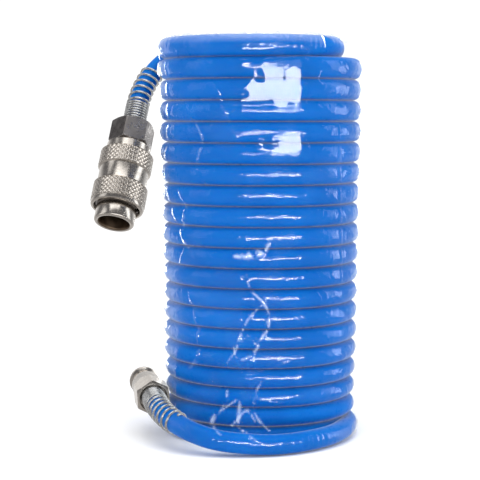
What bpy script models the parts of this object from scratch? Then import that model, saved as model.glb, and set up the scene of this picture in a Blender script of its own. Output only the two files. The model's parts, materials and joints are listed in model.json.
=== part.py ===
"""Close-wound air hose, wrapped in film, with a sleeve-lock coupler and a plug nipple on its ends.

Lengths are in millimetres and angles in degrees; MM turns them into metres as a mesh is made.
The coil stands on the ground with its axis along +Z. Two empties carry the fittings: each lies
on its fitting's axis, with local +Z running from the open end towards the hose.
"""

import math

import bmesh
import bpy
import numpy as np
from mathutils import Matrix, Vector

MM = 0.001
FIT_GAP = 0.3

# Hose and coil
HOSE_R = 4.0
TURN = 2 * HOSE_R
TURNS_IN_STACK = 18
STACK_BASE = TURN + FIT_GAP
STACK_TOP = STACK_BASE - 2 * FIT_GAP + TURNS_IN_STACK * TURN
COIL_R_BASE = 38.2
COIL_R_TOP = 41.9
COIL_HEIGHT = 160.0
COIL_CENTRE = Vector((13.1, 3.7, 0.0))
TOP_TURN_R = 37.9
TOP_TURN_Z = STACK_TOP + FIT_GAP + HOSE_R
COARSE_STEP = 15.0
FINE_STEP = 4.0

# Film wrap
FILM_WALL = 0.3
FILM_BASE = 9.6
FILM_OPENING = (27.0, 145.0)
FILM_OPENING_Z = STACK_TOP + 0.1

# Coupler: place and direction of its axis, from the mouth towards the hose
MOUTH = Vector((-59.0, -12.0, 85.9))
COUPLER_AXIS = Vector((0.149, 0.483, 0.862)).normalized()
NUT_TURN = -17.0

# Coupler, measured along its axis from the mouth
BODY_R = 8.2
SOCKET_R = 6.15
SOCKET_DEPTH = 17.2
CHAMBER_R = 6.9
BODY_END = 35.0
SHOULDER_R = 9.1
SHOULDER_AT = 27.0
BALL_AT = 10.5
BALL_R = 1.6
BALL_CENTRE_R = 6.8
BALL_COUNT = 6
BALL_TRAVEL = 0.8
RING_AT = 7.5
RING_THICK = 0.7
SLEEVE_FRONT = 6.55
SLEEVE_END = 31.4
SLEEVE_TRAVEL = 3.5
LAND_R = 8.55
SPRING_ROOM_R = 9.4
NUT_AT = 35.3
NUT_END = 45.5
NUT_FLATS = 16.0
TAIL_SHOULDER = 42.0
BARB_END = 52.0
VALVE_AT = 16.5
TAIL_AT = 30.4

# Plug: place and direction of its axis, from the tip towards the hose
PLUG_NUT_FLATS = 13.0
PLUG_NUT_LONG = 9.5
NIPPLE_LONG = 22.0
PLUG_NUT_END = Vector((-42.8, -19.8, 16.3))
PLUG_AXIS = Vector((0.22, -0.967, -0.13)).normalized()

# Spring guards
GUARD_R = 4.8
GUARD_WIRE = 0.42
CLOSE_COILS = 9
CLOSE_PITCH = 1.1
OPEN_COILS = 6
OPEN_PITCH = 3.0


def clear_scene():
    for obj in list(bpy.data.objects):
        bpy.data.objects.remove(obj, do_unlink=True)


def material(name, colour, roughness, metallic=0.0, alpha=1.0):
    made = bpy.data.materials.new(name)
    made.use_nodes = True
    shader = made.node_tree.nodes["Principled BSDF"]
    shader.inputs["Base Color"].default_value = (*colour, 1.0)
    shader.inputs["Roughness"].default_value = roughness
    shader.inputs["Metallic"].default_value = metallic
    shader.inputs["Alpha"].default_value = alpha
    return made


def add_mesh(name, points, faces, look, parent=None, at=(0, 0, 0)):
    """A mesh object from points in millimetres, at a place in its parent's axes."""
    mesh = bpy.data.meshes.new(name)
    mesh.from_pydata([Vector(p) * MM for p in points], [], faces)
    mesh.materials.append(look)
    mesh.shade_smooth()
    mesh.set_sharp_from_angle(angle=math.radians(35))
    obj = bpy.data.objects.new(name, mesh)
    bpy.context.scene.collection.objects.link(obj)
    obj.parent = parent
    obj.location = Vector(at) * MM
    return obj


def axis_empty(name, origin, axis, facing):
    """An empty with local +Z along an axis and local +X towards a facing direction."""
    z = axis.normalized()
    x = (facing - facing.dot(z) * z).normalized()
    y = z.cross(x)
    empty = bpy.data.objects.new(name, None)
    bpy.context.scene.collection.objects.link(empty)
    empty.matrix_world = Matrix.Translation(origin * MM) @ Matrix((x, y, z)).transposed().to_4x4()
    return empty


def polar(radius, angle, z):
    turned_by = math.radians(angle)
    return Vector((radius * math.cos(turned_by), radius * math.sin(turned_by), z))


def grid_faces(rows, columns, close_rows, close_columns):
    """Quads over a grid of points held row by row; either direction may wrap round."""
    faces = []
    for i in range(rows if close_rows else rows - 1):
        for j in range(columns if close_columns else columns - 1):
            a, b = i * columns, (i + 1) % rows * columns
            k = (j + 1) % columns
            faces.append((a + j, b + j, b + k, a + k))
    return faces


def turned(name, profile, look, parent=None, segments=32, start=0.0, sweep=360.0, at=(0, 0, 0)):
    """A ring turned about local Z. Its closed (radius, z) profile runs counter-clockwise, seen with
    the radius to the right and z up. Under a full sweep the two ends are capped."""
    whole = sweep == 360.0
    stations = segments if whole else segments + 1
    points = [polar(r, start + sweep * i / segments, z) for i in range(stations) for r, z in profile]
    faces = grid_faces(stations, len(profile), whole, True)
    if not whole:
        count = len(profile)
        faces.append(tuple(range(count)))
        faces.append(tuple(reversed(range((stations - 1) * count, stations * count))))
    return add_mesh(name, points, faces, look, parent, at)


def hex_nut(name, flats, front, end, bore, look, parent, turn=0.0):
    """A hexagonal nut along local Z with its corners chamfered at both ends. The bore is a list of
    (radius, z) steps from the front to the end."""
    segments = 24
    chamfer = 0.16 * flats / 2
    rows = [(0.0, front), (0.35, front + 0.2 * chamfer), (1.0, front + 0.55 * chamfer)]
    rows += [(1.0, end - 0.55 * chamfer), (0.35, end - 0.2 * chamfer), (0.0, end)]
    points = []
    for i in range(segments):
        angle = turn + 360.0 * i / segments
        off_flat = (angle - turn) % 60.0 - 30.0
        hexagon = flats / 2 / math.cos(math.radians(off_flat))
        for share, z in rows:
            cone = flats / 2 * (0.97 + share * (2 / math.sqrt(3) - 0.97))
            points.append(polar(min(hexagon, cone), angle, z))
        points += [polar(r, angle, z) for r, z in reversed(bore)]
    return add_mesh(name, points, grid_faces(segments, len(rows) + len(bore), True, True), look, parent)


def frames_along(points):
    """A tangent and two normals at each point, carried along the line without twisting."""
    line = [Vector(p) for p in points]
    tangents = [(line[min(i + 1, len(line) - 1)] - line[max(i - 1, 0)]).normalized() for i in range(len(line))]
    normal = tangents[0].orthogonal().normalized()
    frames = []
    for tangent in tangents:
        normal = (normal - normal.dot(tangent) * tangent).normalized()
        frames.append((tangent, normal, tangent.cross(normal)))
    return frames


def wire(name, points, radius, look, parent=None, sides=4):
    """A round wire swept along a line, capped at both ends."""
    rings = []
    for centre, (_, across, up) in zip(points, frames_along(points)):
        for k in range(sides):
            turn = 2 * math.pi * k / sides
            rings.append(Vector(centre) + radius * (math.cos(turn) * across + math.sin(turn) * up))
    faces = [tuple(reversed(face)) for face in grid_faces(len(points), sides, False, True)]
    faces.append(tuple(reversed(range(sides))))
    faces.append(tuple(range((len(points) - 1) * sides, len(points) * sides)))
    return add_mesh(name, rings, faces, look, parent)


def compression_spring(name, radius, wire_radius, start, end, coils, look, parent, steps=12):
    """A helical spring along local Z, with its first and last coils wound close."""
    dead = 2.4 * wire_radius
    rise = (end - start - 2 * wire_radius - 2 * dead) / (coils - 2)
    points = []
    for i in range(coils * steps + 1):
        turn = i / steps
        closed = min(turn, 1.0) + max(turn - coils + 1, 0.0)
        z = start + wire_radius + dead * closed + rise * (turn - closed)
        points.append(polar(radius, 360.0 * turn, z))
    return wire(name, points, wire_radius, look, parent)


def smooth_route(route, step):
    """Points at about one step apart on the natural cubic curve through the route's own points."""
    knots = np.array([list(p) for p in route])
    gaps = np.linalg.norm(np.diff(knots, axis=0), axis=1)
    count = len(knots)
    system, right = np.eye(count), np.zeros((count, 3))
    for i in range(1, count - 1):
        system[i, i - 1 : i + 2] = gaps[i - 1], 2 * (gaps[i - 1] + gaps[i]), gaps[i]
        right[i] = 6 * ((knots[i + 1] - knots[i]) / gaps[i] - (knots[i] - knots[i - 1]) / gaps[i - 1])
    bends = np.linalg.solve(system, right)
    points = []
    for i, gap in enumerate(gaps):
        pieces = max(1, round(gap / step))
        for k in range(pieces):
            b = k / pieces
            a = 1 - b
            bow = ((a**3 - a) * bends[i] + (b**3 - b) * bends[i + 1]) * gap**2 / 6
            points.append(Vector(a * knots[i] + b * knots[i + 1] + bow))
    return points + [Vector(knots[-1])]


def cut_route(points, fine_length):
    """Splits a finely read line: every point of its first stretch, then one per coarse step."""
    kept, travelled, since = [points[0]], 0.0, 0.0
    for before, after in zip(points, points[1:]):
        travelled += (after - before).length
        since += (after - before).length
        if since >= (FINE_STEP if travelled < fine_length else COARSE_STEP) - 0.6:
            kept.append(after)
            since = 0.0
    if since > 0.3 * COARSE_STEP:
        kept.append(points[-1])
    return kept


def hose_tube(name, points, look):
    """A plain hose length: a bevelled curve with filled caps through the points."""
    curve = bpy.data.curves.new(name, "CURVE")
    curve.dimensions = "3D"
    curve.bevel_depth = HOSE_R * MM
    curve.bevel_resolution = 2
    curve.use_fill_caps = True
    spline = curve.splines.new("POLY")
    spline.points.add(len(points) - 1)
    for slot, point in zip(spline.points, points):
        slot.co = (*(point * MM), 1.0)
    curve.materials.append(look)
    obj = bpy.data.objects.new(name, curve)
    bpy.context.scene.collection.objects.link(obj)
    return obj


def cut(target, cutter):
    """Subtracts a cutter, which is left out of the part."""
    cutter.hide_render = True
    cutter.display_type = "WIRE"
    modifier = target.modifiers.new("cut", "BOOLEAN")
    modifier.operation = "DIFFERENCE"
    modifier.solver = "EXACT"
    modifier.object = cutter


def coil_radius(z):
    """The coil's outer radius, which grows a little from the base to the top."""
    return COIL_R_BASE + (COIL_R_TOP - COIL_R_BASE) * z / COIL_HEIGHT


def coupler_point(along):
    return COIL_CENTRE + MOUTH + COUPLER_AXIS * along


def plug_point(along):
    """A point on the plug's axis, measured from the nut's hose end towards the hose."""
    return COIL_CENTRE + PLUG_NUT_END + PLUG_AXIS * along


def upper_route():
    """From the coupler's barb up beside the coil, round behind it and into its top turn."""
    route = [coupler_point(along) for along in (TAIL_SHOULDER + 0.3, 47.0, 52.5)]
    rising = [(-49.2, 19.0, 139.0), (-45.2, 24.4, 146.4), (-39.2, 30.0, 152.6), (-30.2, 36.4, 157.2)]
    behind = [(-20.7, 41.2, 158.9), (-11.6, 44.0, 159.4), (-2.0, 44.9, 159.4), (8.0, 43.2, 159.1)]
    inward = [(17.3, 38.0, 158.5), (24.2, 30.1, 157.6), (28.6, 19.2, 156.6), (30.3, 6.4, TOP_TURN_Z)]
    route += [COIL_CENTRE + Vector(p) for p in rising + behind + inward]
    joining_centre, joining_r = Vector((-1.65, -6.2, 0.0)), 31.5
    for angle in (-1.0, -19.0, -37.0, -54.0, -72.0, -90.0):
        route.append(COIL_CENTRE + joining_centre + polar(joining_r, angle, TOP_TURN_Z))
    route += [COIL_CENTRE + polar(TOP_TURN_R, 255.0 - 20.0 * i, TOP_TURN_Z) for i in range(6)]
    return route


def lower_route():
    """From the plug's barb down on to the ground, out in front of the coil and under it."""
    bend_r = 31.0
    heading = math.degrees(math.atan2(PLUG_AXIS.y, PLUG_AXIS.x))
    start = PLUG_NUT_END + PLUG_AXIS * 8.5
    bend_centre = Vector((start.x, start.y, 0.0)) + polar(bend_r, heading + 90.0, 0.0)
    route = [plug_point(along) for along in (-3.2, 1.0, 5.5, 8.5)]
    for turned_to, z in ((-62.0, 13.3), (-46.0, 10.8), (-29.0, 8.1), (-12.0, 6.0)):
        route.append(COIL_CENTRE + bend_centre + polar(bend_r, turned_to - 90.0, z))
    route.append(COIL_CENTRE + Vector((-6.2, -52.2, 4.7)))
    opening_out = [(5.4, -50.2), (16.2, -44.4), (25.0, -35.4), (31.2, -24.4), (34.6, -12.2)]
    route += [COIL_CENTRE + Vector((x, y, HOSE_R)) for x, y in opening_out]
    for radius, angle in ((35.3, 2), (35.1, 22), (34.9, 44), (34.7, 66), (34.5, 88), (34.4, 108)):
        route.append(COIL_CENTRE + polar(radius, angle, HOSE_R))
    route += [COIL_CENTRE + polar(34.4, 128.0 + 20.0 * i, HOSE_R) for i in range(5)]
    return route


def make_coil(look):
    """The stack of close-wound turns as one ribbed ring, one rib to a turn."""
    middle, half = (STACK_TOP + STACK_BASE) / 2, (STACK_TOP - STACK_BASE) / 2
    pitch = 2 * half / TURNS_IN_STACK
    outer = []
    for i in range(TURNS_IN_STACK):
        z = middle - half + pitch * i
        if i:
            outer.append((coil_radius(z) - 1.4, z))
        outer.append((coil_radius(z), z + pitch / 2))
    base, top = STACK_BASE, STACK_TOP
    profile = [(coil_radius(base) - TURN, base + 1.6), (coil_radius(base) - TURN + 2.2, base)]
    profile += [(coil_radius(base) - 2.2, base)] + outer
    profile += [(coil_radius(top) - 2.2, top), (coil_radius(top) - TURN + 2.2, top)]
    profile += [(coil_radius(top) - TURN, top - 1.6)]
    return turned("hose_coil", profile, look, segments=40, at=COIL_CENTRE)


def make_hose_ends(look):
    """The last stretch of hose at each fitting, hollow and pushed over the barb."""
    for name, point in (("coupler_hose_end", coupler_point), ("plug_hose_end", plug_point)):
        start = TAIL_SHOULDER + FIT_GAP if point is coupler_point else -3.2
        axis = COUPLER_AXIS if point is coupler_point else PLUG_AXIS
        frame = axis_empty(name + "_axis", point(start), axis, Vector((0, -1, 0)))
        profile = [(3.1, 0.0), (HOSE_R, 0.0), (HOSE_R, 10.3), (3.1, 10.3)]
        turned(name, profile, look, frame, segments=16)


def make_hose(look):
    for name, route in (("hose_top_turn", upper_route()), ("hose_bottom_turn", lower_route())):
        fine = smooth_route(route, 1.0)
        line = [p for p in fine if (p - fine[0]).length > 10.6]
        hose_tube(name, cut_route(line, 26.0), look)


def make_film(look):
    """The film round the coil: a thin shell, folded in over the top turn, open where the hose
    leaves at the back."""
    outside = FIT_GAP + FILM_WALL
    rim_z = COIL_HEIGHT + 1.1
    outer = [(coil_radius(FILM_BASE) + outside, FILM_BASE), (coil_radius(80.0) + outside, 80.0)]
    outer += [(coil_radius(150.0) + outside + 0.1, 150.0), (42.6, 156.5), (41.95, 159.3)]
    outer += [(40.3, rim_z - 0.3), (37.5, rim_z), (34.0, rim_z)]
    inner = [(r - FILM_WALL, z) for r, z in outer[:5]]
    inner += [(40.15, rim_z - 0.6), (37.5, rim_z - FILM_WALL), (34.0, rim_z - FILM_WALL)]
    film = turned("film_wrap", outer + inner[::-1], look, segments=40, at=COIL_CENTRE)
    block = [(30.0, FILM_OPENING_Z), (50.0, FILM_OPENING_Z), (50.0, 170.0), (30.0, 170.0)]
    first, last = FILM_OPENING
    opening = turned("film_opening_cutter", block, look, None, 12, first, last - first, COIL_CENTRE)
    cut(film, opening)


def make_guard(name, route, start, look):
    """A spring guard round the hose: close coils at the nut, then open coils. It starts a stated
    length along the route."""
    fine = smooth_route(route, 0.5)
    lengths = np.concatenate([[0.0], np.cumsum([(b - a).length for a, b in zip(fine, fine[1:])])])
    frames = frames_along(fine)
    steps, points, along = 10, [], start
    for i in range((CLOSE_COILS + OPEN_COILS) * steps + 1):
        k = int(np.searchsorted(lengths, along))
        _, across, up = frames[k]
        turn = 2 * math.pi * i / steps
        points.append(fine[k] + GUARD_R * (math.cos(turn) * across + math.sin(turn) * up))
        along += (CLOSE_PITCH if i < CLOSE_COILS * steps else OPEN_PITCH) / steps
    return wire(name, points, GUARD_WIRE, look)


def make_coupler_body(look, axis):
    """The socket: a bored body with a groove for the stop ring and six holes for the balls."""
    groove_r, spring_seat_r = 7.4, 7.7
    profile = [(SOCKET_R, 0.6), (SOCKET_R + 0.5, 0.0), (BODY_R - 0.5, 0.0), (BODY_R, 0.6), (BODY_R, RING_AT - 0.15)]
    profile += [(groove_r, RING_AT - 0.15), (groove_r, RING_AT + RING_THICK + 0.15)]
    profile += [(BODY_R, RING_AT + RING_THICK + 0.15), (BODY_R, 13.2), (spring_seat_r, 13.6)]
    profile += [(spring_seat_r, SHOULDER_AT), (SHOULDER_R, SHOULDER_AT), (SHOULDER_R, BODY_END - 0.5)]
    profile += [(SHOULDER_R - 0.5, BODY_END), (CHAMBER_R, BODY_END), (CHAMBER_R, SOCKET_DEPTH)]
    profile += [(SOCKET_R, SOCKET_DEPTH)]
    body = turned("coupler_body", profile, look, axis)
    points, faces = [], []
    for i in range(BALL_COUNT):
        start, angle = len(points), 360.0 * i / BALL_COUNT
        out = polar(1.0, angle, 0.0)
        side = polar(1.0, angle + 90.0, 0.0)
        for reach, radius in ((5.6, 1.5), (9.4, 2.34)):
            for k in range(12):
                turn = math.radians(30.0 * k + 15.0)
                lift = Vector((0, 0, BALL_AT + radius * math.sin(turn)))
                points.append(out * reach + side * (radius * math.cos(turn)) + lift)
        faces += [(start + k, start + (k + 1) % 12, start + 12 + (k + 1) % 12, start + 12 + k) for k in range(12)]
        faces += [tuple(start + 11 - k for k in range(12)), tuple(start + 12 + k for k in range(12))]
    cut(body, add_mesh("ball_hole_cutter", points, faces, look, axis))


def make_coupler_tail(look, axis):
    """The screwed-in tail: it closes the valve chamber and carries the nut's thread and the barb."""
    bore_r, screw_r, groove_r, barb_r = 1.6, 6.6, 5.7, 2.75
    profile = [(bore_r, TAIL_AT), (screw_r, TAIL_AT), (screw_r, TAIL_AT + 1.6), (groove_r, TAIL_AT + 1.6)]
    profile += [(groove_r, TAIL_AT + 2.8), (screw_r, TAIL_AT + 2.8)]
    profile += [(screw_r, TAIL_SHOULDER - 0.8), (screw_r - 0.8, TAIL_SHOULDER), (2.3, TAIL_SHOULDER)]
    for crest in (45.0, 48.0, 51.0):
        profile += [(barb_r, crest - 0.2), (2.3, crest + 0.8)]
    profile += [(2.1, BARB_END), (bore_r, BARB_END)]
    return turned("coupler_tail", profile, look, axis, segments=24)


def make_sleeve(look, axis):
    """The knurled locking sleeve. Inside, a ramp and a land hold the balls in, and a wider room
    behind them takes the sleeve's spring. Pulled back, the ramp lets the balls move out."""
    ramp = BALL_TRAVEL / SLEEVE_TRAVEL
    mouth_r = LAND_R + ramp * (BALL_AT - SLEEVE_FRONT)
    profile = [(mouth_r, SLEEVE_FRONT), (10.3, SLEEVE_FRONT), (11.0, 7.4), (11.1, 7.8), (11.1, 15.6)]
    profile += [(10.1, 16.2), (10.1, 23.4), (10.85, 24.0), (10.85, 30.6), (10.2, SLEEVE_END)]
    profile += [(SPRING_ROOM_R, SLEEVE_END), (SPRING_ROOM_R, 14.0), (LAND_R, 14.0), (LAND_R, BALL_AT)]
    return turned("locking_sleeve", profile, look, axis)


def make_locking_parts(steel, dark, axis):
    balls = bpy.data.meshes.new("locking_ball")
    shape = bmesh.new()
    bmesh.ops.create_uvsphere(shape, u_segments=10, v_segments=6, radius=BALL_R * MM)
    shape.to_mesh(balls)
    shape.free()
    balls.materials.append(steel)
    balls.shade_smooth()
    for i in range(BALL_COUNT):
        ball = bpy.data.objects.new(f"locking_ball_{i + 1}", balls)
        bpy.context.scene.collection.objects.link(ball)
        ball.parent = axis
        ball.location = polar(BALL_CENTRE_R, 360.0 * i / BALL_COUNT, BALL_AT) * MM
    section = [(7.6, RING_AT), (8.9, RING_AT), (8.9, RING_AT + RING_THICK), (7.6, RING_AT + RING_THICK)]
    turned("sleeve_stop_ring", section, dark, axis, 24, 100.0, 335.0)
    compression_spring("sleeve_spring", 8.7, 0.4, 14.2, SHOULDER_AT - 0.2, 6, steel, axis)


def make_valve(brass, rubber, steel, axis):
    """The valve: a poppet that a plug pushes back off a rubber packing, and its return spring."""
    front = SOCKET_DEPTH + 0.15
    packing = [(4.45, front + 0.4), (5.0, front), (6.6, front), (6.6, front + 2.0), (4.45, front + 2.0)]
    turned("mouth_packing", packing, rubber, axis, 24)
    flange = front + 2.15
    poppet = [(2.8, VALVE_AT), (3.9, VALVE_AT), (4.1, VALVE_AT + 0.4), (4.1, flange), (6.0, flange)]
    poppet += [(6.0, flange + 1.4), (3.2, flange + 1.4), (3.2, flange + 3.4), (1.2, flange + 3.4)]
    poppet += [(1.2, flange + 1.0), (2.8, flange - 0.4)]
    valve = turned("valve_poppet", poppet, brass, axis, 24)
    points, faces = [], []
    for i in range(4):
        start, angle = len(points), 45.0 + 90.0 * i
        out, side = polar(1.0, angle, 0.0), polar(1.0, angle + 90.0, 0.0)
        for reach in (2.0, 5.2):
            for k in range(6):
                turn = math.radians(60.0 * k + 30.0)
                lift = Vector((0, 0, flange - 1.3 + 0.7 * math.sin(turn)))
                points.append(out * reach + side * (0.7 * math.cos(turn)) + lift)
        faces += [(start + k, start + (k + 1) % 6, start + 6 + (k + 1) % 6, start + 6 + k) for k in range(6)]
        faces += [tuple(start + 5 - k for k in range(6)), tuple(start + 6 + k for k in range(6))]
    cut(valve, add_mesh("valve_port_cutter", points, faces, brass, axis))
    compression_spring("valve_spring", 4.6, 0.35, flange + 1.6, TAIL_AT - 0.2, 5, steel, axis)
    o_ring = [polar(0.42, 60.0 * k, 0.0) for k in range(6)]
    turned("tail_o_ring", [(6.2 + p.x, TAIL_AT + 2.2 + p.y) for p in o_ring], rubber, axis, 24)


def make_coupler_nut(look, axis):
    bore = [(7.0, NUT_AT), (7.0, TAIL_SHOULDER + 0.4), (5.4, TAIL_SHOULDER + 0.9), (5.4, NUT_END)]
    return hex_nut("coupler_hex_nut", NUT_FLATS, NUT_AT, NUT_END, bore, look, axis, NUT_TURN)


def make_plug(steel, nut_look, axis):
    """The plug nipple and its nut. Local +Z runs from the tip to the hose, with the tip at zero."""
    nut_at = NIPPLE_LONG
    nut_end = nut_at + PLUG_NUT_LONG
    bore_r, body_r, barb_r = 1.9, 5.95, 2.75
    profile = [(bore_r, 0.0), (3.5, 0.0), (3.9, 0.4), (3.9, 5.0), (4.9, 6.4), (body_r, 6.4), (body_r, 8.0)]
    profile += [(4.95, 8.6), (4.95, 12.2), (body_r, 13.2), (body_r, 18.4), (6.2, 18.4)]
    profile += [(6.2, nut_at - FIT_GAP), (5.5, nut_at - FIT_GAP), (5.5, nut_end - 3.5), (2.3, nut_end - 3.5)]
    for crest in (-1.6, 1.2, 4.0):
        profile += [(barb_r, nut_end + crest - 0.2), (2.3, nut_end + crest + 0.8)]
    profile += [(2.1, nut_end + 6.2), (bore_r, nut_end + 6.2)]
    turned("plug_nipple", profile, steel, axis, 24)
    bore = [(5.8, nut_at), (5.8, nut_end - 3.2), (5.4, nut_end - 2.9), (5.4, nut_end)]
    hex_nut("plug_hex_nut", PLUG_NUT_FLATS, nut_at, nut_end, bore, nut_look, axis, 4.0)


def main():
    clear_scene()
    hose = material("hose", (0.03, 0.22, 0.68), 0.32)
    film = material("film", (0.9, 0.93, 0.95), 0.08, 0.0, 0.25)
    nickel = material("nickel", (0.72, 0.70, 0.66), 0.24, 1.0)
    dark_steel = material("dark_steel", (0.24, 0.23, 0.22), 0.36, 1.0)
    spring_steel = material("spring_steel", (0.62, 0.62, 0.60), 0.28, 1.0)
    brass = material("brass", (0.74, 0.58, 0.30), 0.34, 1.0)
    rubber = material("rubber", (0.03, 0.03, 0.03), 0.6)

    toward_front = Vector((0, -1, 0))
    coupler = axis_empty("coupler_axis", coupler_point(0.0), COUPLER_AXIS, toward_front)
    tip = plug_point(-PLUG_NUT_LONG - NIPPLE_LONG)
    plug = axis_empty("plug_axis", tip, PLUG_AXIS, toward_front)

    make_coil(hose)
    make_hose(hose)
    make_hose_ends(hose)
    make_film(film)
    make_coupler_body(nickel, coupler)
    make_coupler_tail(brass, coupler)
    make_coupler_nut(dark_steel, coupler)
    make_sleeve(nickel, coupler)
    make_locking_parts(spring_steel, dark_steel, coupler)
    make_valve(brass, rubber, spring_steel, coupler)
    make_plug(nickel, nickel, plug)
    make_guard("coupler_spring_guard", upper_route(), 1.4, spring_steel)
    make_guard("plug_spring_guard", lower_route(), 1.2, spring_steel)
    bpy.context.view_layer.update()


main()
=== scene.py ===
"""Looks for the coiled air hose: camera and light, the one-piece hose, its film and its fittings.

Lengths are in metres, written as a number of millimetres times MM. Points of the hose's free ends
are given from the coil's axis, and places on the fittings along their own axes, as in the CAD.
"""

import json
import math

import bmesh
import bpy
import numpy as np
from mathutils import Matrix, Vector, noise


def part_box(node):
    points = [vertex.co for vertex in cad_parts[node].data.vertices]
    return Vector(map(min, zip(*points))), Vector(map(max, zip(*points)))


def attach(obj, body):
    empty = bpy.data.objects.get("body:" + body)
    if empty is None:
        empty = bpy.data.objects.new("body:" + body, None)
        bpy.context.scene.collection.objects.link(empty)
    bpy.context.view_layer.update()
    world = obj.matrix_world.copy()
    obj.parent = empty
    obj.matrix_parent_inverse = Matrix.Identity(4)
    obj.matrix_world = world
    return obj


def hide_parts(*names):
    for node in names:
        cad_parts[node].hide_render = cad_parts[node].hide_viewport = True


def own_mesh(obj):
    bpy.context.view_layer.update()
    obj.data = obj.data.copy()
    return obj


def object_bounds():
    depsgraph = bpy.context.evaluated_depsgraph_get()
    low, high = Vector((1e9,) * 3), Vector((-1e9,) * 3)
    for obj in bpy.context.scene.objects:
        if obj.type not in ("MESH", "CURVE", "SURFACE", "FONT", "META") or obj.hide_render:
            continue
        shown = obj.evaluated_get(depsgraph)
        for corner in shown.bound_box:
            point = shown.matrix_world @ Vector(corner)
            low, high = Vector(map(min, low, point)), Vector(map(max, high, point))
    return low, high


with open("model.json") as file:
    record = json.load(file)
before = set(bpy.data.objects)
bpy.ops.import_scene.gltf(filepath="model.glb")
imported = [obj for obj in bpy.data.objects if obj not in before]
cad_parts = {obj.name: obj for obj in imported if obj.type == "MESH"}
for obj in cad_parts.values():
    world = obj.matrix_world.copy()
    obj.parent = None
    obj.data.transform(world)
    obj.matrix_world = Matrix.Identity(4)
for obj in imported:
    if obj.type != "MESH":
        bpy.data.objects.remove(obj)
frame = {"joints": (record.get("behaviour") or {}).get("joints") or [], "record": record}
CAD_LOW, CAD_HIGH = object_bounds()

MM = 0.001
TAU = 2 * math.pi


def joint(name):
    return next(j for j in frame["joints"] if j["name"] == name)


def mount(name):
    return next(m for m in frame["record"]["mounts"] if m["name"] == name)


COIL_AXIS = sum(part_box("hose_coil"), Vector()) / 2
COIL_AXIS.z = 0.0

# Hose and coil, as in the CAD
HOSE_R = 4.0 * MM
BORE_R = 2.5 * MM
TURNS = 20
COIL_R_BASE = 38.2 * MM
COIL_R_TOP = 41.9 * MM
COIL_HEIGHT = 160.0 * MM
TOP_Z = 156.0 * MM

# Grooves between the turns at the front, from the top down. The pitch shrinks evenly, from 8.5 mm
# at the top to 7.5 mm at the base, and SQUEEZE sets by how much.
GROOVES = 18
TOP_GROOVE = 152.0 * MM
PITCH = 8.0 * MM
SQUEEZE = 1.06 * MM

# Fittings: each axis runs from the open end towards the hose
MOUTH = Vector(joint("sleeve_spin")["pos_m"])
COUPLER_AXIS = Vector(joint("sleeve_spin")["axis"]).normalized()
PLUG_AXIS = -Vector(mount("plug_tip_face")["axis"]).normalized()
PLUG_FACE_R = 2.7 * MM
COUPLER_HOSE_AT = 42.3 * MM
PLUG_HOSE_AT = 28.3 * MM
GUARD_R = 4.47 * MM
GUARD_WIRE_R = 0.43 * MM
GUARD_CLOSE_PITCH = 1.12 * MM
KNURL_COUNT = 34
KNURL_PITCH = 1.9
KNURL_DEPTH = 0.46

# Routes of the two free ends, in millimetres from the coil's axis on the ground
UPPER_ROUTE = [
    (-49.2, 19.0, 139.0), (-45.2, 24.4, 146.4), (-39.2, 30.0, 152.6), (-30.2, 36.4, 157.2),
    (-20.7, 41.2, 158.9), (-11.6, 44.0, 159.4), (-2.0, 44.9, 159.4), (8.0, 43.2, 159.1),
    (17.3, 38.0, 158.5), (24.2, 30.1, 157.6), (28.6, 19.2, 156.6), (30.3, 6.4, 156.0),
]
JOINING_CENTRE, JOINING_R = (-1.65, -6.2), 31.5
JOINING_ANGLES = (-1, -19, -37, -54, -72, -90)
TOP_TURN_R = 37.9
LOWER_ROUTE = [
    (-6.2, -52.2, 4.7), (5.4, -50.2, 4.0), (16.2, -44.4, 4.0), (25.0, -35.4, 4.0), (31.2, -24.4, 4.0),
    (34.6, -12.2, 4.0),
]
BASE_TURN_START = (35.3, 2.0)
PLUG_BEND_R = 31.0
PLUG_BEND = ((-12, 6.0), (-29, 8.1), (-46, 10.8), (-62, 13.3))

# Film: its grid over (angle, height), the radius it takes over a crest when its slack is 1, the
# radius at which its patterns are laid out, and the lengths of hose at either end it leaves out
FILM_BINS = 480
FILM_ROWS = 400
FILM_LOW = 0.8 * MM
FILM_HIGH = 160.4 * MM
FILM_TOP = 160.9 * MM
FILM_CREST_R = 10.0 * MM
FILM_CLEARANCE = 0.25 * MM
NOISE_R = 42.0 * MM
UPPER_END_LENGTH = 0.176
LOWER_END_LENGTH = 0.012
FILM_IOR = 1.32

# Where the film is open, in degrees round the coil: the upper end leaves over the top, the lower
# end at the ground
UPPER_OPENING, UPPER_OPENING_FROM = (29, 146), 151.2 * MM
LOWER_OPENING, LOWER_OPENING_TO = (204, 236), 5.5 * MM

# Places where the film is stretched flat over the turns: middle and half size, each as (degrees,
# height in millimetres)
TAUT_PATCHES = [
    ((283, 142.5), (23, 10.5)), ((262, 149), (22, 1.6)), ((266, 154.5), (13, 1.8)),
    ((257, 135), (22, 1.8)), ((282, 118), (17, 3.4)), ((258, 121.0), (14, 0.9)),
]
# A milky patch low on the left: middle and half size, as above
HAZE_PATCH = ((200, 52), (14, 24))
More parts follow.
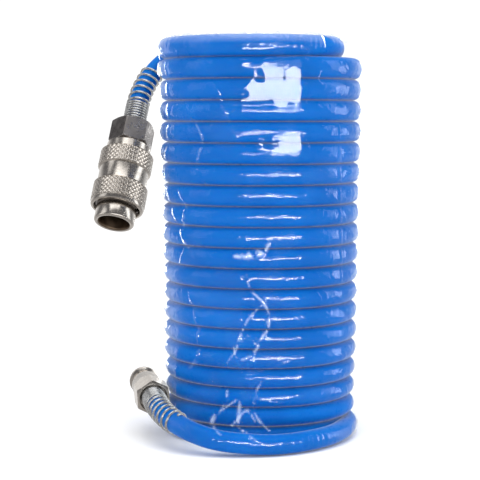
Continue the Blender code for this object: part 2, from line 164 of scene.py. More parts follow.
# Creases: points as (degrees, height in millimetres), then width and height in millimetres and how
# milky the crease is
CREASES = [
    ([(205, 150), (207, 132), (206, 118)], 1.0, 0.9, 0.20),
    ([(206, 118), (200, 106), (206, 96), (213, 88)], 1.0, 1.1, 0.20),
    ([(213, 88), (222, 80), (216, 70)], 1.0, 1.0, 0.20),
    ([(236, 152), (246, 138), (254, 124), (262, 116)], 0.9, 0.5, 0.10),
    ([(318, 128), (320, 96), (323, 60)], 1.4, 0.5, 0.12),
    ([(224, 60), (232, 40), (226, 24)], 1.2, 0.8, 0.15),
    ([(238, 36), (262, 30), (286, 34)], 0.9, 0.4, 0.06),
    ([(255, 75), (264, 75.5), (271, 77), (275, 80.5)], 2.0, 1.0, 1.1),
    ([(262, 68), (264, 62), (270, 58), (274, 52), (273, 46), (266, 41)], 0.9, 0.9, 0.8),
    ([(270, 56), (264, 52), (259, 46), (255, 38), (250, 33)], 0.8, 0.8, 0.7),
    ([(273, 50), (270, 43), (263, 36), (257, 35), (254, 40)], 0.8, 0.8, 0.6),
    ([(268, 40), (262, 44), (258, 41)], 0.7, 0.7, 0.6),
    ([(248, 25), (251, 19), (250, 13), (254, 9)], 0.9, 0.9, 0.8),
    ([(251, 16), (257, 19), (260, 14), (264, 9), (269, 6)], 0.9, 0.9, 0.8),
    ([(270, 26), (266, 20), (268, 14), (273, 10)], 0.8, 0.8, 0.7),
    ([(258, 12), (263, 16), (267, 13)], 0.7, 0.7, 0.7),
    ([(216, 100), (222, 92), (219, 84), (226, 76)], 1.0, 0.8, 0.5),
    ([(228, 128), (236, 120), (232, 110), (238, 102)], 0.8, 0.6, 0.4),
]
CREASE_MILK = 0.25

# Camera: in front of the coil's axis, tilted down
CAMERA_AT = Vector((-8.26, -640.0, 129.3)) * MM
CAMERA_TILT = 4.56
CAMERA_LENS = 117.6

# Light: the ambient white, and the height that every lamp is aimed at
AMBIENT = 1.1
AIM_HEIGHT = 90.0 * MM


def polar(radius, degrees, z):
    turned_by = math.radians(degrees)
    return Vector((radius * math.cos(turned_by), radius * math.sin(turned_by), z))


def axis_matrix(origin, axis):
    """A frame on a fitting: local +Z along its axis and local +X towards the front."""
    z = axis.normalized()
    front = Vector((0, -1, 0))
    x = (front - front.dot(z) * z).normalized()
    return Matrix.Translation(origin) @ Matrix((x, z.cross(x), z)).transposed().to_4x4()


COUPLER = axis_matrix(MOUTH, COUPLER_AXIS)
PLUG = axis_matrix(Vector(), PLUG_AXIS)
PLUG.translation = Vector(mount("plug_tip_face")["pos_m"]) - PLUG.col[0].xyz * PLUG_FACE_R


# ---- camera and light


def make_camera():
    camera = bpy.data.objects.new("camera", bpy.data.cameras.new("camera"))
    bpy.context.scene.collection.objects.link(camera)
    camera.location = COIL_AXIS + CAMERA_AT
    camera.rotation_euler = (math.radians(90 - CAMERA_TILT), 0, 0)
    camera.data.lens = CAMERA_LENS
    camera.data.sensor_width = 36.0
    camera.data.clip_start = 0.01
    camera.data.clip_end = 20
    bpy.context.scene.camera = camera


def area_light(name, azimuth, elevation, distance, size, power):
    """A rectangular light aimed at the coil. Azimuth 0 is the camera's side, and 90 the right."""
    light = bpy.data.lights.new(name, "AREA")
    light.shape = "RECTANGLE"
    light.size, light.size_y = size
    light.energy = power
    obj = bpy.data.objects.new(name, light)
    bpy.context.scene.collection.objects.link(obj)
    a, e = math.radians(azimuth), math.radians(elevation)
    away = Vector((math.sin(a) * math.cos(e), -math.cos(a) * math.cos(e), math.sin(e)))
    obj.location = COIL_AXIS + Vector((0, 0, AIM_HEIGHT)) + away * distance
    obj.rotation_euler = (-away).to_track_quat("-Z", "Y").to_euler()
    return obj


def make_lights():
    area_light("window", 12, 3, 1.0, (1.25, 0.42), 3.2)
    area_light("right_fill", 92, 15, 0.9, (0.3, 0.8), 1.6)
    area_light("left_fill", -75, 20, 0.9, (0.4, 0.8), 0.9)
    area_light("top_fill", 0, 80, 1.1, (1.0, 1.0), 6.0)


def make_film_lights(film):
    """Low softboxes linked to the film alone, since only its gloss mirrors them: azimuth, elevation,
    size and power of each."""
    lit = bpy.data.collections.new("lit_by_film_strips")
    lit.objects.link(film)
    strips = (
        (12, -1, (1.21, 0.20), 26.0), (102, 0, (0.28, 0.5), 2.0), (-125, 0, (0.25, 0.6), 0.5),
        (185, 0, (0.9, 0.2), 5.0),
    )
    for azimuth, elevation, size, power in strips:
        strip = area_light("film_strip", azimuth, elevation, 0.97, size, power)
        strip.light_linking.receiver_collection = lit


def make_world():
    """A white studio: the backdrop and the ambient light are white, and what the gloss reflects is a
    grey room in front, darkest overhead, and the white backdrop behind."""
    world = bpy.data.worlds.new("studio")
    bpy.context.scene.world = world
    world.use_nodes = True
    nodes, links = world.node_tree.nodes, world.node_tree.links
    back = nodes["Background"]
    where = nodes.new("ShaderNodeTexCoord")
    split = nodes.new("ShaderNodeSeparateXYZ")
    half = nodes.new("ShaderNodeMath")
    half.operation = "MULTIPLY_ADD"
    half.inputs[1].default_value = 0.5
    half.inputs[2].default_value = 0.5
    links.new(where.outputs["Generated"], split.inputs[0])
    links.new(split.outputs["Z"], half.inputs[0])
    stops = [(0.40, (0.42, 0.41, 0.41)), (0.50, (0.24, 0.24, 0.25)), (0.80, (0.12, 0.12, 0.13))]
    room = ramp_node(nodes, links, half.outputs[0], stops)
    behind = ramp_node(nodes, links, split.outputs["Y"], [(0.45, (0, 0, 0)), (0.8, (1, 1, 1))])
    around = nodes.new("ShaderNodeMixRGB")
    around.inputs[2].default_value = (0.92, 0.92, 0.93, 1)
    links.new(behind.outputs[0], around.inputs[0])
    links.new(room.outputs[0], around.inputs[1])
    ray = nodes.new("ShaderNodeLightPath")
    mix = nodes.new("ShaderNodeMixRGB")
    mix.inputs[1].default_value = (AMBIENT, AMBIENT, AMBIENT, 1)
    links.new(ray.outputs["Is Glossy Ray"], mix.inputs[0])
    links.new(around.outputs[0], mix.inputs[2])
    links.new(mix.outputs[0], back.inputs["Color"])
    back.inputs["Strength"].default_value = 1.0
    bpy.context.scene.view_settings.view_transform = "Standard"


def make_floor():
    mesh = bpy.data.meshes.new("floor")
    size = 6.0
    corners = [(-size, -size, 0), (size, -size, 0), (size, size, 0), (-size, size, 0)]
    mesh.from_pydata(corners, [], [(0, 1, 2, 3)])
    floor = bpy.data.objects.new("floor", mesh)
    bpy.context.scene.collection.objects.link(floor)
    floor.location.z = min(CAD_LOW.z, 0.0) - 0.1 * MM
    look = bpy.data.materials.new("floor")
    look.use_nodes = True
    shader = look.node_tree.nodes["Principled BSDF"]
    shader.inputs["Base Color"].default_value = (0.95, 0.95, 0.95, 1)
    shader.inputs["Roughness"].default_value = 0.6
    shader.inputs["Specular IOR Level"].default_value = 0.0
    mesh.materials.append(look)
    floor.visible_glossy = False


# ---- mesh helpers


def add_mesh(name, points, faces, look, smooth_angle=40):
    mesh = bpy.data.meshes.new(name)
    mesh.from_pydata([tuple(p) for p in points], [], faces)
    mesh.materials.append(look)
    mesh.shade_smooth()
    if smooth_angle:
        mesh.set_sharp_from_angle(angle=math.radians(smooth_angle))
    obj = bpy.data.objects.new(name, mesh)
    bpy.context.scene.collection.objects.link(obj)
    return obj


def grid_faces(rows, columns, close_rows=False, close_columns=True):
    """Quads over a grid of points held row by row; either direction may wrap round."""
    faces = []
    for i in range(rows if close_rows else rows - 1):
        a, b = i * columns, (i + 1) % rows * columns
        for j in range(columns if close_columns else columns - 1):
            k = (j + 1) % columns
            faces.append((a + j, b + j, b + k, a + k))
    return faces


def turned(name, profile, look, matrix, angles=None, relief=None):
    """A ring turned about the matrix's Z from a closed (radius, z) profile in millimetres. relief, if
    given, is a function of (profile index, angle, z) that returns a change of radius."""
    angles = angles or [360.0 * i / 96 for i in range(96)]
    points = []
    for angle in angles:
        for index, (radius, z) in enumerate(profile):
            extra = relief(index, angle, z) if relief else 0.0
            points.append(matrix @ (polar((radius + extra) * MM, angle, z * MM)))
    return add_mesh(name, points, grid_faces(len(angles), len(profile), True), look)


def line_frames(line):
    """Unit tangents, level sideways directions and the third direction at each point of a line."""
    tangent = np.gradient(line, axis=0)
    tangent /= np.linalg.norm(tangent, axis=1)[:, None]
    side = np.cross(tangent, (0.0, 0.0, 1.0))
    side /= np.linalg.norm(side, axis=1)[:, None]
    return tangent, side, np.cross(side, tangent)


def carried_frames(line):
    """Two directions across a line at each point, carried along it without twisting."""
    tangent = np.gradient(line, axis=0)
    tangent /= np.linalg.norm(tangent, axis=1)[:, None]
    across = np.cross(tangent[0], (0.3, 0.9, 0.2))
    rows = []
    for t in tangent:
        across = across - across @ t * t
        across /= np.linalg.norm(across)
        rows.append((across, np.cross(t, across)))
    return rows


def wire(name, line, radius, look, sides=10):
    """A round wire swept along a line, capped at both ends."""
    line = np.array(line, float)
    points = []
    for centre, (across, up) in zip(line, carried_frames(line)):
        for k in range(sides):
            turn = TAU * k / sides
            points.append(centre + radius * (math.cos(turn) * across + math.sin(turn) * up))
    faces = [tuple(reversed(face)) for face in grid_faces(len(line), sides)]
    faces.append(tuple(reversed(range(sides))))
    faces.append(tuple(range((len(line) - 1) * sides, len(line) * sides)))
    return add_mesh(name, points, faces, look)


def spline_through(points, spacing):
    """Points about one spacing apart on the natural cubic curve through the given points."""
    knots = np.array([list(p) for p in points])
    gaps = np.linalg.norm(np.diff(knots, axis=0), axis=1)
    count = len(knots)
    system, right = np.eye(count), np.zeros((count, 3))
    for i in range(1, count - 1):
        system[i, i - 1 : i + 2] = gaps[i - 1], 2 * (gaps[i - 1] + gaps[i]), gaps[i]
        right[i] = 6 * ((knots[i + 1] - knots[i]) / gaps[i] - (knots[i] - knots[i - 1]) / gaps[i - 1])
    bends = np.linalg.solve(system, right)
    line = []
    for i, gap in enumerate(gaps):
        pieces = max(1, round(gap / spacing))
        b = np.arange(pieces)[:, None] / pieces
        a = 1 - b
        bow = ((a**3 - a) * bends[i] + (b**3 - b) * bends[i + 1]) * gap**2 / 6
        line.append(a * knots[i] + b * knots[i + 1] + bow)
    return np.concatenate([*line, knots[-1:]])


def smoothstep(low, high, x):
    t = np.clip((x - low) / (high - low), 0, 1)
    return t * t * (3 - 2 * t)


# ---- materials


def new_material(name):
    look = bpy.data.materials.new(name)
    look.use_nodes = True
    tree = look.node_tree
    return look, tree.nodes, tree.links, tree.nodes["Principled BSDF"]


def noise_node(nodes, links, scale, detail=4.0, distortion=0.0, stretch=None):
    where = nodes.new("ShaderNodeTexCoord")
    made = nodes.new("ShaderNodeTexNoise")
    made.inputs["Scale"].default_value = scale
    made.inputs["Detail"].default_value = detail
    made.inputs["Distortion"].default_value = distortion
    if stretch:
        mapping = nodes.new("ShaderNodeMapping")
        mapping.inputs["Scale"].default_value = stretch
        links.new(where.outputs["Object"], mapping.inputs[0])
        links.new(mapping.outputs[0], made.inputs["Vector"])
    else:
        links.new(where.outputs["Object"], made.inputs["Vector"])
    return made


def ramp_node(nodes, links, source, stops):
    ramp = nodes.new("ShaderNodeValToRGB")
    while len(ramp.color_ramp.elements) < len(stops):
        ramp.color_ramp.elements.new(0.5)
    for element, (position, colour) in zip(ramp.color_ramp.elements, stops):
        element.position = position
        element.color = (*colour, 1)
    links.new(source, ramp.inputs[0])
    return ramp


def bump_node(nodes, links, height, strength, distance):
    bump = nodes.new("ShaderNodeBump")
    bump.inputs["Strength"].default_value = strength
    bump.inputs["Distance"].default_value = distance
    links.new(height, bump.inputs["Height"])
    return bump


def hose_material():
    look, nodes, links, shader = new_material("hose_blue")
    patches = noise_node(nodes, links, 40.0, 3.0)
    stops = [(0.3, (0.002, 0.104, 0.40)), (0.7, (0.003, 0.136, 0.49))]
    colour = ramp_node(nodes, links, patches.outputs["Fac"], stops)
    links.new(colour.outputs[0], shader.inputs["Base Color"])
    fine = noise_node(nodes, links, 900.0, 3.0)
    stops = [(0.35, (0.26, 0.26, 0.26)), (0.65, (0.36, 0.36, 0.36))]
    rough = ramp_node(nodes, links, fine.outputs["Fac"], stops)
    links.new(rough.outputs[0], shader.inputs["Roughness"])
    bump = bump_node(nodes, links, fine.outputs["Fac"], 0.08, 0.05 * MM)
    links.new(bump.outputs[0], shader.inputs["Normal"])
    shader.inputs["IOR"].default_value = 1.32
    shader.inputs["Specular IOR Level"].default_value = 0.12
    shader.inputs["Subsurface Weight"].default_value = 0.5
    shader.inputs["Subsurface Radius"].default_value = (0.4, 1.0, 2.2)
    shader.inputs["Subsurface Scale"].default_value = 2.0 * MM
    return look


def metal_material(name, colour, low, high, grain, tarnish=None):
    """A plated or machined metal: fine grain between two roughnesses, and a slow change of colour."""
    look, nodes, links, shader = new_material(name)
    shader.inputs["Metallic"].default_value = 1.0
    slow = noise_node(nodes, links, 120.0, 5.0, 0.6)
    tint = tarnish or tuple(0.82 * c for c in colour)
    plating = ramp_node(nodes, links, slow.outputs["Fac"], [(0.32, tint), (0.62, colour)])
    links.new(plating.outputs[0], shader.inputs["Base Color"])
    fine = noise_node(nodes, links, grain, 6.0)
    rough = ramp_node(nodes, links, fine.outputs["Fac"], [(0.3, (low,) * 3), (0.7, (high,) * 3)])
    links.new(rough.outputs[0], shader.inputs["Roughness"])
    bump = bump_node(nodes, links, fine.outputs["Fac"], 0.05, 0.05 * MM)
    links.new(bump.outputs[0], shader.inputs["Normal"])
    return look


def rubber_material():
    look, nodes, links, shader = new_material("black_rubber")
    fine = noise_node(nodes, links, 1500.0, 4.0)
    stops = [(0.3, (0.016, 0.016, 0.017)), (0.7, (0.035, 0.034, 0.033))]
    colour = ramp_node(nodes, links, fine.outputs["Fac"], stops)
    links.new(colour.outputs[0], shader.inputs["Base Color"])
    bump = bump_node(nodes, links, fine.outputs["Fac"], 0.2, 0.05 * MM)
    links.new(bump.outputs[0], shader.inputs["Normal"])
    shader.inputs["Roughness"].default_value = 0.6
    return look


def attribute_node(nodes, name):
    made = nodes.new("ShaderNodeAttribute")
    made.attribute_name = name
    return made.outputs["Fac"]


def film_fresnel(nodes, links):
    """How much a thin sheet reflects, the same from either of its faces."""
    fresnel = nodes.new("ShaderNodeFresnel")
    facing = nodes.new("ShaderNodeNewGeometry")
    bend = nodes.new("ShaderNodeMapRange")
    bend.inputs["To Min"].default_value = FILM_IOR
    bend.inputs["To Max"].default_value = 1 / FILM_IOR
    links.new(facing.outputs["Backfacing"], bend.inputs["Value"])
    links.new(bend.outputs["Result"], fresnel.inputs["IOR"])
    return fresnel.outputs[0]


def film_material():
    """Clear stretch film: see-through, with a gloss that grows at glancing angles. The mesh's own
    values say how milky it is, how rough its gloss is and how much of the gloss is left."""
    look, nodes, links, shader = new_material("clear_film")
    nodes.remove(shader)
    output = nodes["Material Output"]
    clear = nodes.new("ShaderNodeBsdfTransparent")
    clear.inputs["Color"].default_value = (0.97, 0.985, 1.0, 1)
    milky = nodes.new("ShaderNodeBsdfDiffuse")
    milky.inputs["Color"].default_value = (0.80, 0.88, 0.97, 1)
    gloss = nodes.new("ShaderNodeBsdfGlossy")
    gloss.inputs["Color"].default_value = (1, 1, 1, 1)
    wrinkles = noise_node(nodes, links, 260.0, 5.0, 1.2, (1.0, 1.0, 0.35))
    bump = bump_node(nodes, links, wrinkles.outputs["Fac"], 0.10, 0.4 * MM)
    links.new(bump.outputs[0], gloss.inputs["Normal"])
    links.new(attribute_node(nodes, "roughness"), gloss.inputs["Roughness"])
    body = nodes.new("ShaderNodeMixShader")
    links.new(attribute_node(nodes, "haze"), body.inputs[0])
    links.new(clear.outputs[0], body.inputs[1])
    links.new(milky.outputs[0], body.inputs[2])
    coating = nodes.new("ShaderNodeMath")
    coating.operation = "MULTIPLY"
    links.new(film_fresnel(nodes, links), coating.inputs[0])
    links.new(attribute_node(nodes, "gleam"), coating.inputs[1])
    coat = nodes.new("ShaderNodeMixShader")
    links.new(coating.outputs[0], coat.inputs[0])
    links.new(body.outputs[0], coat.inputs[1])
    links.new(gloss.outputs[0], coat.inputs[2])
    links.new(coat.outputs[0], output.inputs["Surface"])
    return look


# ---- hose


def groove_height(k):
    """Height of the k-th groove from the top: the turns sit a little closer towards the base."""
    return TOP_GROOVE - PITCH * k - 2 * SQUEEZE * k * (GROOVES - k) / (GROOVES / 2) ** 2


def turn_height(j):
    """Height of the middle of turn j at the front, counted from 0 at the top."""
    if j < 0.5:
        return TOP_Z
    if j > TURNS - 1.5:
        return HOSE_R
    return groove_height(j - 0.5)


def coil_radius(z):
    """The coil's outer radius, which grows a little from the base to the top."""
    return COIL_R_BASE + (COIL_R_TOP - COIL_R_BASE) * z / COIL_HEIGHT


def coupler_point(along):
    return COUPLER @ Vector((0, 0, along))


def plug_point(along):
    return PLUG @ Vector((0, 0, along))


def coil_points():
    """The close-wound turns from the top turn's left side to the base: level round the front, and
    stepping down one turn across the back. The last turn opens out a little."""
    first_angle, step, last_angle = 155.0, 15.0, -340.0 - 360.0 * (TURNS - 2)
    points = []
    angle = first_angle
    while angle >= last_angle:
        past_step = 150.0 - angle
        turn = math.floor(past_step / 360.0)
        share = float(smoothstep(0.0, 120.0, past_step % 360.0))
        z = turn_height(turn) * (1 - share) + turn_height(turn + 1) * share
        opened = 0.9 * float(smoothstep(-120.0, 20.0, last_angle + 120.0 - angle))
        wander = 0.2 * math.sin(2.1 * turn + 1.3 * math.radians(angle)) + 0.14 * math.sin(5.0 * turn)
        points.append(COIL_AXIS + polar(coil_radius(z) - HOSE_R + (wander + opened) * MM, angle, z))
        angle -= step
    return points


def plug_bend():
    """The round bend from the front of the base back to the plug, ending inside its nut."""
    start, bend_r = plug_point(40.0 * MM), PLUG_BEND_R * MM
    heading = math.degrees(math.atan2(PLUG_AXIS.y, PLUG_AXIS.x))
    centre = Vector((start.x, start.y, 0.0)) + polar(bend_r, heading + 90.0, 0.0)
    bend = [centre + polar(bend_r, turned_to - 90.0, z * MM) for turned_to, z in PLUG_BEND]
    return bend + [start] + [plug_point(along * MM) for along in (37.0, 32.5)]


def hose_route():
    """The whole line of the hose, from the coupler's tail down the coil to the plug's barb."""
    route = [coupler_point(COUPLER_HOSE_AT), coupler_point(47.0 * MM), coupler_point(52.5 * MM)]
    route += [COIL_AXIS + Vector(p) * MM for p in UPPER_ROUTE]
    joining = COIL_AXIS + Vector((*JOINING_CENTRE, 0.0)) * MM
    route += [joining + polar(JOINING_R * MM, angle, TOP_Z) for angle in JOINING_ANGLES]
    route += [COIL_AXIS + polar(TOP_TURN_R * MM, 255.0 - 15.0 * i, TOP_Z) for i in range(7)]
    route += coil_points()
    route += [COIL_AXIS + polar(BASE_TURN_START[0] * MM, BASE_TURN_START[1], HOSE_R)]
    route += [COIL_AXIS + Vector(p) * MM for p in reversed(LOWER_ROUTE)]
    return route + plug_bend() + [plug_point(PLUG_HOSE_AT)]


def lengths_along(line):
    return np.concatenate([[0.0], np.cumsum(np.linalg.norm(np.diff(line, axis=0), axis=1))])


def hose_section(line):
    """Half width and half height of the hose at each point. The turns are a little taller than
    round near the top and a little flatter near the base, so that each one touches the next."""
    along = lengths_along(line)
    from_end = np.minimum(along, along[-1] - along)
    k = np.clip((TOP_GROOVE - line[:, 2]) / PITCH, 0, GROOVES)
    touching = HOSE_R + 0.03 * MM + SQUEEZE * (GROOVES - 2 * k) / (GROOVES / 2) ** 2
    half = HOSE_R + (touching - HOSE_R) * smoothstep(0.06, 0.12, from_end)
    return HOSE_R**2 / half, half


def make_hose(look):
    """The hose as one open tube swept along its line. Returns the line."""
    line = spline_through(hose_route(), 2.6 * MM)
    width, height = hose_section(line)
    _, side, up = line_frames(line)
    outer_sides, inner_sides = 24, 12
    rings = []
    for sides, share in ((outer_sides, 1.0), (inner_sides, BORE_R / HOSE_R)):
        turn = np.arange(sides) * TAU / sides
        ring = line[:, None, :] + share * (
            width[:, None, None] * np.cos(turn)[None, :, None] * side[:, None, :]
            + height[:, None, None] * np.sin(turn)[None, :, None] * up[:, None, :]
        )
        rings.append(ring.reshape(-1, 3))
    outside = grid_faces(len(line), outer_sides)
    offset = len(rings[0])
    inside = [tuple(offset + v for v in reversed(f)) for f in grid_faces(len(line), inner_sides)]
    ends = []
    for row, flip in ((0, False), (len(line) - 1, True)):
        outer_ring = [row * outer_sides + k for k in range(outer_sides)]
        inner_ring = [offset + row * inner_sides + k for k in range(inner_sides)]
        for k in range(inner_sides):
            a, b, c = (outer_ring[(2 * k + n) % outer_sides] for n in range(3))
            d, e = inner_ring[(k + 1) % inner_sides], inner_ring[k]
            face = (a, b, c, d, e)
            ends.append(face if flip else tuple(reversed(face)))
    faces = [tuple(reversed(f)) for f in outside + inside + ends]
    hose = add_mesh("air_hose", np.concatenate(rings), faces, look, 50)
    # The metal mirrors the plain room instead of the hose, which keeps its colour neutral
    hose.visible_glossy = False
    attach(hose, "hose")
    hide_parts("hose_coil", "hose_top_turn", "hose_bottom_turn", "coupler_hose_end",
                "plug_hose_end")
    return line


# ---- fittings


def spring_line(matrix, radius, wire_r, start, end, coils, steps=28):
    """A compression spring's line along a fitting, with its first and last coils wound close."""
    dead = 2.3 * wire_r
    rise = (end - start - 2 * wire_r - 2 * dead) / (coils - 2)
    points = []
    for i in range(coils * steps + 1):
        turn = i / steps
        closed = min(turn, 1.0) + max(turn - coils + 1, 0.0)
        z = start + wire_r + dead * closed + rise * (turn - closed)
        points.append(matrix @ polar(radius * MM, 360.0 * turn, z * MM))
    return points


def guard_line(line, start, close_coils, open_coils, open_pitch, steps=28):
    """A spring guard's line: a helix round the hose's line, from a stated length along it."""
    along = lengths_along(line)
    frames = carried_frames(line)
    at, points = start, []
    for i in range((close_coils + open_coils) * steps + 1):
        k = min(int(np.searchsorted(along, at)), len(line) - 2)
        share = (at - along[k - 1]) / (along[k] - along[k - 1]) if k else 0.0
        centre = line[k - 1] * (1 - share) + line[k] * share if k else line[0]
        across, up = frames[k]
        turn = TAU * i / steps
        points.append(centre + GUARD_R * (math.cos(turn) * across + math.sin(turn) * up))
        eased = float(smoothstep(close_coils - 0.6, close_coils + 0.8, i / steps))
        at += (GUARD_CLOSE_PITCH * (1 - eased) + open_pitch * eased) / steps
    return points


def make_guards(line, look):
    """The two spring guards, which follow the first stretch of the hose's line at either end."""
    stretch_points = 160
    near_coupler = line[:stretch_points]
    near_plug = line[::-1][:stretch_points]
    guards = (
        ("coupler_guard", near_coupler, 1.6 * MM, 10, 6, 3.15 * MM, "coupler_spring_guard"),
        ("plug_guard", near_plug, 1.4 * MM, 9, 7, 2.75 * MM, "plug_spring_guard"),
    )
    for name, stretch, start, close, opened, pitch, node in guards:
        fine = spline_through(stretch[::3], 0.7 * MM)
        guard = wire(name, guard_line(fine, start, close, opened, pitch), GUARD_WIRE_R, look)
        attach(guard, "hose")
        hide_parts(node)


def hex_angles(turn):
    """Angles round a nut, with two points close together at each corner."""
    angles = []
    for corner in range(6):
        for off in (-1.9, 1.9, 5.0, 9.0, 14.0, 19.0, 24.0, 30.0, 36.0, 41.0, 46.0, 51.0, 55.0):
            angles.append(turn + 60.0 * corner + off)
    return angles


def hex_nut(name, node, flats, front, end, bore, look, matrix, turn):
    """A chamfered hexagonal nut. The bore is a list of (radius, z) steps from front to end."""
    corner = flats / 2 / math.cos(math.radians(30))
    worn = corner * math.cos(math.radians(30)) / math.cos(math.radians(28.1))
    chamfer = corner - 0.965 * flats / 2
    fall = math.tan(math.radians(30)) * chamfer
    shares = [0.0, 0.25, 0.5, 0.75, 1.0]
    rows = [(0.965 * flats / 2 + chamfer * s, front + fall * s) for s in shares]
    rows += [(corner, front + (end - front) * s) for s in (0.35, 0.65)]
    rows += [(0.965 * flats / 2 + chamfer * s, end - fall * s) for s in reversed(shares)]
    points = []
    angles = hex_angles(turn)
    for angle in angles:
        off_flat = (angle - turn) % 60.0 - 30.0
        hexagon = min(flats / 2 / math.cos(math.radians(off_flat)), worn)
        for cone, z in rows:
            points.append(matrix @ polar(min(hexagon, cone) * MM, angle, z * MM))
        points += [matrix @ polar(r * MM, angle, z * MM) for r, z in reversed(bore)]
    faces = grid_faces(len(angles), len(rows) + len(bore), True)
    nut = add_mesh(name, points, faces, look, 22)
    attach(nut, "hose")
    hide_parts(node)


def knurl(angle, z):
    """Change of radius of a diamond knurl, in millimetres: two crossing sets of V grooves."""
    round_it = KNURL_COUNT * angle / 360.0
    along = z / KNURL_PITCH
    left = abs((round_it + along) % 1.0 - 0.5) * 2
    right = abs((round_it - along) % 1.0 - 0.5) * 2
    return -KNURL_DEPTH * max(1.0 - 1.7 * left, 1.0 - 1.7 * right, 0.0)


def sleeve_rows():
    """Outline of the locking sleeve, from its mouth over the outside: (radius, z, knurled)."""
    front, end = 6.55, 31.4
    rows = [(9.55, front, 0), (9.9, front, 0), (10.35, front + 0.05, 0), (10.7, front + 0.3, 0)]
    rows += [(10.82, front + 0.8, 0), (10.85, front + 1.5, 0)]
    for start, stop, radius in ((8.4, 16.0, 11.1), (23.9, 30.7, 10.9)):
        if start > 20:
            waist = [(10.05, 16.9), (10.0, 17.4), (10.0, 20.0), (10.0, 22.9), (10.05, 23.4)]
            rows += [(r, z, 0) for r, z in waist]
        rows += [(radius - 0.35, start - 0.25, 0), (radius - 0.1, start - 0.08, 0)]
        count = round((stop - start) / 0.16)
        rows += [(radius, start + (stop - start) * i / count, 1) for i in range(count + 1)]
        rows += [(radius - 0.1, stop + 0.08, 0), (radius - 0.35, stop + 0.25, 0)]
    rows += [(10.3, end - 0.15, 0), (10.0, end, 0), (9.6, end, 0)]
    inner = [(9.4, end), (9.4, 14.0), (8.55, 14.0), (8.55, 10.5), (9.45, 6.75)]
    return rows + [(r, z, 0) for r, z in inner]


def make_sleeve(look):
    rows = sleeve_rows()
    segments = 11 * KNURL_COUNT

    def relief(index, angle, z):
        return knurl(angle, z) if rows[index][2] else 0.0

    angles = [360.0 * i / segments for i in range(segments)]
    sleeve = turned("sleeve", [(r, z) for r, z, _ in rows], look, COUPLER, angles, relief)
    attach(sleeve, "sleeve")
    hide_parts("locking_sleeve")


def make_coupler_body(look, bore_shade_look):
    """The socket's body with its stepped nose, its ring groove and six tapered ball holes."""
    profile = [(6.15, 1.0), (6.3, 0.55), (6.65, 0.15), (7.0, 0.0), (7.45, 0.0), (7.85, 0.12)]
    profile += [(8.1, 0.45), (8.2, 0.9), (8.2, 7.2), (8.1, 7.35), (7.4, 7.35), (7.4, 8.35)]
    profile += [(8.1, 8.35), (8.2, 8.45), (8.2, 13.2), (7.7, 13.6), (7.7, 27.0), (8.9, 27.0)]
    profile += [(9.1, 27.2), (9.1, 34.5), (8.6, 35.0), (6.9, 35.0), (6.9, 17.2), (6.15, 17.2)]
    body = turned("socket_body", profile, look, COUPLER)
    # The faces inside the bore take a dark brown metal: painted shade in the socket's hollow
    body.data.materials.append(bore_shade_look)
    for face in body.data.polygons:
        middle = COUPLER.inverted() @ face.center
        face.material_index = 1 if math.hypot(middle.x, middle.y) < 6.5 * MM else 0
    cutter = bmesh.new()
    for i in range(6):
        out = COUPLER.to_3x3() @ polar(1.0, 60.0 * i, 0.0)
        middle = COUPLER @ (polar(7.5 * MM, 60.0 * i, 10.5 * MM))
        place = Matrix.Translation(middle) @ out.to_track_quat("Z", "Y").to_matrix().to_4x4()
        bmesh.ops.create_cone(cutter, cap_ends=True, segments=24, radius1=1.56 * MM, radius2=2.3 * MM,
                              depth=3.8 * MM, matrix=place)
    mesh = bpy.data.meshes.new("ball_holes")
    cutter.to_mesh(mesh)
    cutter.free()
    holes = bpy.data.objects.new("ball_holes", mesh)
    bpy.context.scene.collection.objects.link(holes)
    apply_cut(body, holes)
    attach(body, "hose")
    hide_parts("coupler_body")


def apply_cut(target, cutter):
    """Subtracts the cutter from the target's mesh, then removes the cutter."""
    modifier = target.modifiers.new("cut", "BOOLEAN")
    modifier.operation = "DIFFERENCE"
    modifier.solver = "EXACT"
    modifier.object = cutter
    graph = bpy.context.evaluated_depsgraph_get()
    made = bpy.data.meshes.new_from_object(target.evaluated_get(graph))
    target.modifiers.clear()
    target.data = made
    made.shade_smooth()
    made.set_sharp_from_angle(angle=math.radians(40))
    bpy.data.objects.remove(cutter)


def make_stop_ring(look):
    """The split ring that stops the sleeve."""
    profile = [(7.62, 7.6), (7.7, 7.5), (8.8, 7.5), (8.9, 7.6)]
    profile += [(8.9, 8.1), (8.8, 8.2), (7.7, 8.2), (7.62, 8.1)]
    steps = 90
    angles = [100.0 + 335.0 * i / steps for i in range(steps + 1)]
    points = [COUPLER @ polar(r * MM, angle, z * MM) for angle in angles for r, z in profile]
    count = len(profile)
    faces = grid_faces(len(angles), count)
    faces += [tuple(range(count)), tuple(reversed(range(steps * count, (steps + 1) * count)))]
    ring = add_mesh("stop_ring", points, faces, look)
    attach(ring, "stop_ring")
    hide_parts("sleeve_stop_ring")


def make_locking_balls(look):
    for i in range(6):
        ball = bmesh.new()
        place = Matrix.Translation(COUPLER @ polar(6.8 * MM, 60.0 * i, 10.5 * MM))
        bmesh.ops.create_icosphere(ball, subdivisions=4, radius=1.6 * MM, matrix=place)
        mesh = bpy.data.meshes.new(f"ball_{i + 1}")
        ball.to_mesh(mesh)
        ball.free()
        mesh.materials.append(look)
        mesh.shade_smooth()
        obj = bpy.data.objects.new(f"ball_{i + 1}", mesh)
        bpy.context.scene.collection.objects.link(obj)
        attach(obj, f"ball_{i + 1}")
        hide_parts(f"locking_ball_{i + 1}")


